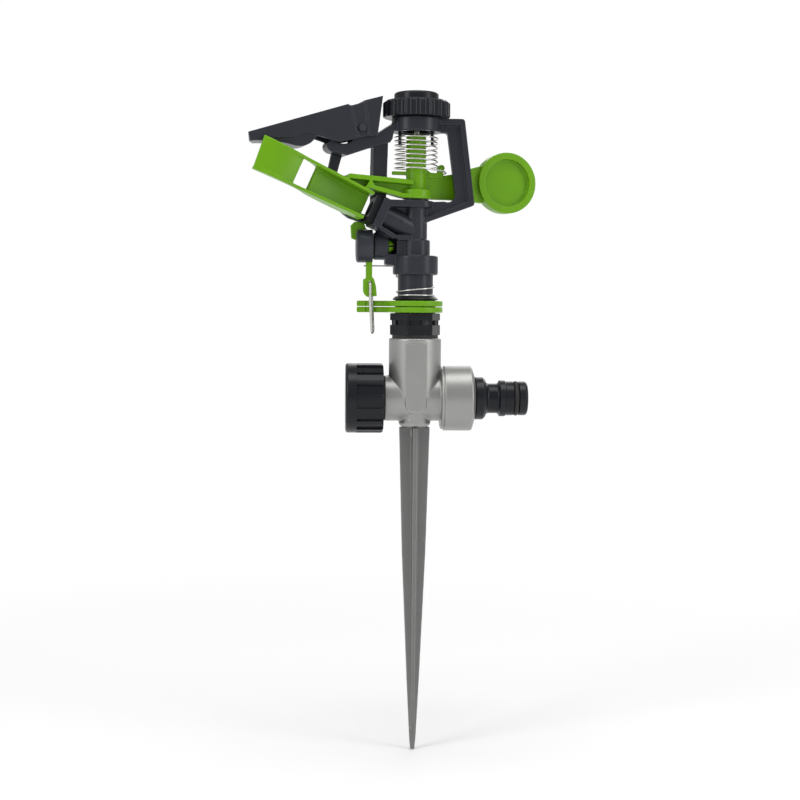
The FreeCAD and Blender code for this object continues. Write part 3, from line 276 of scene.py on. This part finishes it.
def moulding(node, voxel=0.32, rounds=4, factor=0.5, name=None):
    """The node's own form with its edges broken, as a moulding or casting has them."""
    src = NODES[node]
    me = src.data.copy()
    o = link(me, name or node + "_skin", SLOT_OF[node])
    r = o.modifiers.new("r", "REMESH")
    r.mode = "VOXEL"
    r.voxel_size = voxel * MM
    s = o.modifiers.new("s", "SMOOTH")
    s.factor = factor
    s.iterations = rounds
    bpy.context.view_layer.update()
    applied(o)
    o.data.materials.clear()
    o.data.materials.append(M[SLOT_OF[node]])
    smooth(o.data)
    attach(o, BODY_OF[node])
    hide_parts(node)
    return o


def tube(name, pts, radius, material, sides=14, closed=False, taper=None):
    """Round wire along a list of points (metres), with a frame carried along it."""
    bm = bmesh.new()
    rings = []
    n = len(pts)
    up = Vector((0, 0, 1))
    t_prev = None
    nrm = None
    for i, p in enumerate(pts):
        a = pts[max(i - 1, 0)]
        b = pts[min(i + 1, n - 1)]
        t = (b - a).normalized()
        if nrm is None:
            nrm = t.cross(up)
            if nrm.length < 1e-4:
                nrm = t.cross(Vector((1, 0, 0)))
            nrm.normalize()
        else:
            nrm = (nrm - t * nrm.dot(t)).normalized()
        bn = t.cross(nrm)
        r = radius * (taper(i / (n - 1)) if taper else 1.0)
        rings.append([bm.verts.new(p + (nrm * math.cos(2 * math.pi * k / sides) + bn * math.sin(2 * math.pi * k / sides)) * r) for k in range(sides)])
    for r0, r1 in zip(rings, rings[1:]):
        for k in range(sides):
            bm.faces.new((r0[k], r0[(k + 1) % sides], r1[(k + 1) % sides], r1[k]))
    bm.faces.new(list(reversed(rings[0])))
    bm.faces.new(rings[-1])
    bmesh.ops.recalc_face_normals(bm, faces=bm.faces)
    me = bpy.data.meshes.new(name)
    bm.to_mesh(me)
    bm.free()
    smooth(me, 40)
    return link(me, name, material)


def rounded(ctrl, step=0.25 * MM, radius=None):
    """Points along straight runs joined by tangent arcs at the corners."""
    pts = [ctrl[0].copy()]
    for i in range(1, len(ctrl) - 1):
        a, b, c = ctrl[i - 1], ctrl[i], ctrl[i + 1]
        u, v = (a - b), (c - b)
        ang = u.angle(v)
        rad = radius[i - 1] if isinstance(radius, (list, tuple)) else radius
        cut = min(rad / math.tan(ang / 2), 0.48 * min(u.length, v.length))
        r = cut * math.tan(ang / 2)
        p0, p1 = b + u.normalized() * cut, b + v.normalized() * cut
        centre = b + (u.normalized() + v.normalized()).normalized() * (r / math.sin(ang / 2))
        e0, e1 = p0 - centre, p1 - centre
        turn = e0.angle(e1)
        k = max(4, int(turn * r / step) + 2)
        ax = e0.cross(e1).normalized()
        for j in range(k + 1):
            pts.append(centre + Matrix.Rotation(turn * j / k, 3, ax) @ e0)
    pts.append(ctrl[-1].copy())
    return pts


# ------------------------------------------------------------------- springs
def coil(r, stations, steps=48):
    """Coil through (azimuth in degrees, height in mm) stations, eased between them."""
    pts = []
    a_first, a_last = stations[0][0], stations[-1][0]
    slopes = []
    for i in range(len(stations)):
        lo_s, hi_s = stations[max(i - 1, 0)], stations[min(i + 1, len(stations) - 1)]
        slopes.append((hi_s[1] - lo_s[1]) / (hi_s[0] - lo_s[0]))
    n = int((a_last - a_first) / 360.0 * steps)
    for i in range(n + 1):
        a = a_first + (a_last - a_first) * i / n
        k = max(j for j in range(len(stations) - 1) if stations[j][0] <= a + 1e-9)
        (a0, z0), (a1, z1) = stations[k], stations[k + 1]
        h = a1 - a0
        t = (a - a0) / h
        z = ((2 * t ** 3 - 3 * t ** 2 + 1) * z0 + (t ** 3 - 2 * t ** 2 + t) * h * slopes[k]
             + (-2 * t ** 3 + 3 * t ** 2) * z1 + (t ** 3 - t ** 2) * h * slopes[k + 1])
        rr = r((a - a_first) / (a_last - a_first)) if callable(r) else r
        pts.append(Vector((rr * math.cos(math.radians(a)), rr * math.sin(math.radians(a)), z)) * MM)
    return pts


def make_springs():
    # torsion spring of the hammer, wound downwards: its upper end sits under the knob's boss,
    # its lower end leaves the coil at the front and hooks round the end of the arm's lug
    stops = [(-180.0, 135.45), (0.0, 135.0), (180.0, 133.9)]
    for k in range(1, 7):
        stops.append((180.0 + 360.0 * k, 133.9 - 2.12 * k))
    stops.append((180.0 + 2160.0 + 105.0, 120.6))
    body = coil(lambda f: 10.15 - 0.25 * math.sin(math.pi * f), stops)
    tail = [HEAD @ (Vector(v) * MM) for v in ((11.9, -5.4, 119.9), (14.5, -1.2, 119.5), (14.6, 2.2, 119.35), (13.2, 4.2, 119.3))]
    join = [body[-1]] + tail
    o = tube("torsion_spring_wire", body[:-1] + rounded(join, radius=[3 * MM, 2.0 * MM, 1.0 * MM]), 0.37 * MM, "spring_steel", sides=12)
    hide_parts("torsion_spring")
    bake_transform(o)
    b = tube("bearing_spring_wire", coil(8.85, [(-150.0, 61.9), (0.0, 62.0), (180.0, 63.4), (360.0, 66.1), (540.0, 70.9)]), 0.42 * MM, "spring_steel", sides=12)
    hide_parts("bearing_spring")
    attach(b, "head")


def make_wires():
    px, pz = -21.4, 67.6
    c = [Vector(v) for v in ((px, 1.9, pz), (px, -2.6, pz), (px, -2.6, pz - 7.4), (px + 0.9, -1.05, pz - 22.4), (px + 1.3, 0.0, pz - 23.7),
                             (px + 1.7, 1.05, pz - 22.4), (px + 1.2, 2.6, pz - 7.4), (px, 2.6, pz), (px, 0.2, pz))]
    c = [TRIP @ (v * MM) for v in c]
    pts = rounded(c, radius=[0.9 * MM, 12 * MM, 3 * MM, 0.9 * MM, 3 * MM, 12 * MM, 0.9 * MM])
    o = tube("trip_wire_hook", pts, 0.66 * MM, "spring_steel", sides=14)
    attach(o, "wire")
    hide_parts("trip_wire")
    c = [TRIP @ (Vector(v) * MM) for v in ((-8.8, 2.75, 75.6), (-20.2, 2.75, 75.6), (-24.2, 2.7, 75.6))]
    t = tube("toggle_wire_rod", rounded(c, radius=6 * MM), 0.38 * MM, "spring_steel", sides=12)
    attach(t, "head")
    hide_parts("toggle_wire")


make_springs()
make_wires()
for node, vox, rounds in (("head_frame", 0.28, 3), ("hammer_arm", 0.26, 3), ("tee_body", 0.27, 3), ("ground_spike", 0.32, 3), ("deflector_flap", 0.26, 3),
                          ("trip_lever", 0.24, 3), ("upper_collar", 0.26, 3), ("lower_collar", 0.26, 3)):
    skin = moulding(node, vox, rounds)
    if node in ("deflector_flap", "hammer_arm"):
        # the two pass close by each other; keep each skin just inside its solid
        dirs = [v.normal.copy() for v in skin.data.vertices]
        for v, n in zip(skin.data.vertices, dirs):
            v.co -= n * 0.09 * MM
    if node == "ground_spike":
        # the point runs out without a bead
        for v in skin.data.vertices:
            if v.co.z < -0.1465:
                lim = (1.62 - 0.095 * (-0.1465 - v.co.z) * 1000.0) * MM
                r = math.hypot(v.co.x, v.co.y)
                if r > lim:
                    v.co.x *= lim / r
                    v.co.y *= lim / r

# ------------------------------------------------------- stage, light, camera
def plane(name, size, z):
    me = bpy.data.meshes.new(name)
    h = size / 2
    me.from_pydata([(-h, -h, z), (h, -h, z), (h, h, z), (-h, h, z)], [], [(0, 1, 2, 3)])
    o = bpy.data.objects.new(name, me)
    scene.collection.objects.link(o)
    return o


lo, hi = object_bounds()
floor = plane("floor", 40.0, lo[2] - 0.0003)
fm = bpy.data.materials.new("floor_pale")
fm.use_nodes = True
fnt = fm.node_tree
fnt.nodes.clear()
fo = fnt.nodes.new("ShaderNodeOutputMaterial")
fd = fnt.nodes.new("ShaderNodeBsdfDiffuse")
fe = fnt.nodes.new("ShaderNodeEmission")
fx = fnt.nodes.new("ShaderNodeMixShader")
fn = nd(fnt, "ShaderNodeTexNoise", Scale=6.0, Detail=2.0)
fnt.links.new(mixc(fnt, span(fnt, fn.outputs["Fac"], 0.0, 0.4), (0.94, 0.94, 0.94), (0.91, 0.91, 0.91)), fd.inputs["Color"])
tc = fnt.nodes.new("ShaderNodeTexCoord")
ln = fnt.nodes.new("ShaderNodeVectorMath")
ln.operation = "LENGTH"
fnt.links.new(tc.outputs["Object"], ln.inputs[0])
mr = fnt.nodes.new("ShaderNodeMapRange")
mr.interpolation_type = "SMOOTHSTEP"
fnt.links.new(ln.outputs["Value"], mr.inputs[0])
mr.inputs[1].default_value, mr.inputs[2].default_value = 0.16, 0.60
fe.inputs["Color"].default_value = (1, 1, 1, 1)
fe.inputs["Strength"].default_value = 1.02
fnt.links.new(mr.outputs[0], fx.inputs[0])
fnt.links.new(fd.outputs[0], fx.inputs[1])
fnt.links.new(fe.outputs[0], fx.inputs[2])
fnt.links.new(fx.outputs[0], fo.inputs[0])
floor.data.materials.append(fm)


def area(name, loc, target, size, power, color=(1, 1, 1)):
    l = bpy.data.lights.new(name, "AREA")
    l.shape = "RECTANGLE"
    l.size, l.size_y = size
    l.energy = power
    l.color = color
    o = bpy.data.objects.new(name, l)
    o.location = loc
    o.rotation_euler = (Vector(target) - Vector(loc)).to_track_quat("-Z", "Y").to_euler()
    scene.collection.objects.link(o)
    return o


area("key_left", (-0.80, -0.55, 0.55), (0, 0, 0.05), (0.35, 0.9), 4.2)
area("fill_right", (0.85, -0.50, 0.40), (0, 0, 0.05), (0.35, 0.9), 3.2)
area("top_soft", (0.0, -0.15, 1.0), (0, 0, 0.05), (0.8, 0.6), 5.0)
area("rim_back", (0.30, 0.9, 0.5), (0, 0, 0.05), (0.8, 0.6), 2.5)
w = bpy.data.worlds.new("studio")
scene.world = w
w.use_nodes = True
wn = w.node_tree
wn.nodes.clear()
wo = wn.nodes.new("ShaderNodeOutputWorld")
wx = wn.nodes.new("ShaderNodeMixShader")
wl = wn.nodes.new("ShaderNodeLightPath")
wa = wn.nodes.new("ShaderNodeBackground")
wb = wn.nodes.new("ShaderNodeBackground")
wa.inputs[0].default_value, wa.inputs[1].default_value = (1, 1, 1, 1), 0.42
wb.inputs[0].default_value, wb.inputs[1].default_value = (1, 1, 1, 1), 1.02
wn.links.new(wl.outputs["Is Camera Ray"], wx.inputs[0])
wn.links.new(wa.outputs[0], wx.inputs[1])
wn.links.new(wb.outputs[0], wx.inputs[2])
wn.links.new(wx.outputs[0], wo.inputs[0])
scene.view_settings.view_transform = "Standard"
scene.view_settings.look = "None"

cam_data = bpy.data.cameras.new("cam")
cam = bpy.data.objects.new("cam", cam_data)
scene.collection.objects.link(cam)
AZ = math.radians(-3.5)
turn = Matrix.Rotation(AZ, 4, "Z")
cam.location = turn @ Vector((0.0, -0.650, 0.0569))
cam.rotation_mode = "QUATERNION"
cam.rotation_quaternion = (turn.to_3x3() @ Matrix.Rotation(math.radians(90.0 - 1.905), 3, "X") @ Matrix.Rotation(math.radians(0.40), 3, "Z")).to_quaternion()
cam_data.sensor_width = 36.0
cam_data.lens = 1383.0 / 800.0 * 36.0
cam_data.shift_x = -14.9 / 800.0
cam_data.shift_y = -48.0 / 800.0
cam_data.clip_end = 60.0
scene.camera = cam
